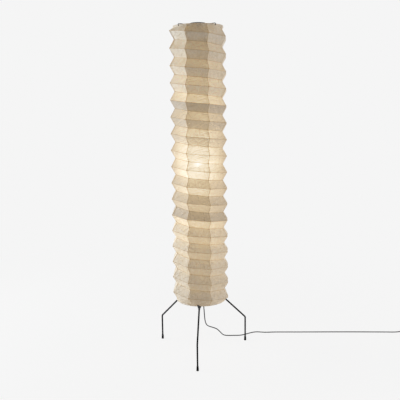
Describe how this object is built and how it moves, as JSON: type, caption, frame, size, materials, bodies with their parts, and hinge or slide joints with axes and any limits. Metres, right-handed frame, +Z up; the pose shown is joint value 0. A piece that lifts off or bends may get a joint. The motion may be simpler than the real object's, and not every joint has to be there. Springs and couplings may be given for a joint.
{
  "type": "paper lantern floor lamp",
  "caption": "Tall floor lamp: a faceted paper shade whose folds wind round it, hung over a mast on a wire tripod, with a bulb inside and a corded switch and plug.",
  "frame": {"origin": "on the floor, on the axis of the mast, midway between the feet", "axes": "+Z up along the mast; the front leg points to -Y; the cord leaves to +X"},
  "size_m": [1.7409, 0.658, 1.9536],
  "materials": {
    "paper": "translucent fibrous paper",
    "lining": "translucent fibrous paper",
    "bamboo": "split bamboo",
    "black_wire": "satin black",
    "black_metal": "satin black",
    "cap_metal": "satin black",
    "grey_metal": "dark grey",
    "steel": "zinc plated",
    "brass": "bright",
    "foot_rubber": "matte black",
    "holder_black": "matte black",
    "cap_nickel": "nickel plated",
    "bulb_glass": "frosted warm white",
    "cord_grey": "dark grey sheath",
    "switch_black": "fine texture"
  },
  "bodies": {
    "stand": {"mast_lower": "black_metal", "mast_upper": "black_metal", "mast_joiner": "steel", "hub": "black_metal", "hub_screws": "steel", "mast_screw": "steel", "leg_front": "black_metal", "leg_right": "black_metal", "leg_left": "black_metal", "foot_front": "foot_rubber", "foot_right": "foot_rubber", "foot_left": "foot_rubber", "rim_clip_front": "grey_metal", "rim_clip_right": "grey_metal", "rim_clip_left": "grey_metal", "holder_arm": "black_metal", "arm_screw": "steel", "holder_nipple": "brass", "holder_cup": "holder_black", "holder_skirt": "holder_black", "inner_lead": "cord_grey", "lead_ties": "holder_black", "cord_grip": "foot_rubber", "cord_free": "cord_grey", "switch_base": "switch_black", "switch_cover": "switch_black", "switch_screws": "steel", "cord_coil": "cord_grey", "plug_body": "switch_black", "plug_pins": "cap_nickel"},
    "shade": {"paper_panel_1": "paper", "paper_panel_2": "paper", "paper_panel_3": "paper", "paper_panel_4": "paper", "paper_panel_5": "paper", "paper_panel_6": "paper", "paper_panel_7": "paper", "paper_panel_8": "paper", "middle_lining": "lining", "ridge_rib": "bamboo", "valley_rib": "bamboo", "hoop_top": "black_wire", "hoop_bottom": "black_wire", "crown_boss": "black_metal", "crown_cap": "cap_metal", "crown_arm_1": "black_wire", "crown_arm_2": "black_wire", "crown_arm_3": "black_wire", "crown_arm_4": "black_wire"},
    "bulb": {"bulb_cap": "cap_nickel", "bulb_glass": "bulb_glass"},
    "rocker": {"switch_rocker": "switch_black"}
  },
  "joints": [
    {"name": "shade_lift", "type": "slide", "parent": "stand", "child": "shade", "axis": [0, 0, 1], "range_m": [0, 1.65]},
    {"name": "bulb_out", "type": "slide", "parent": "stand", "child": "bulb", "axis": [0, 0, 1], "range_m": [0, 0.03]},
    {"name": "switch_rock", "type": "hinge", "parent": "stand", "child": "rocker", "pos_m": [1.326, 0.33, 0.0135], "axis": [0, 1, 0], "range_deg": [0, 16]}
  ]
}
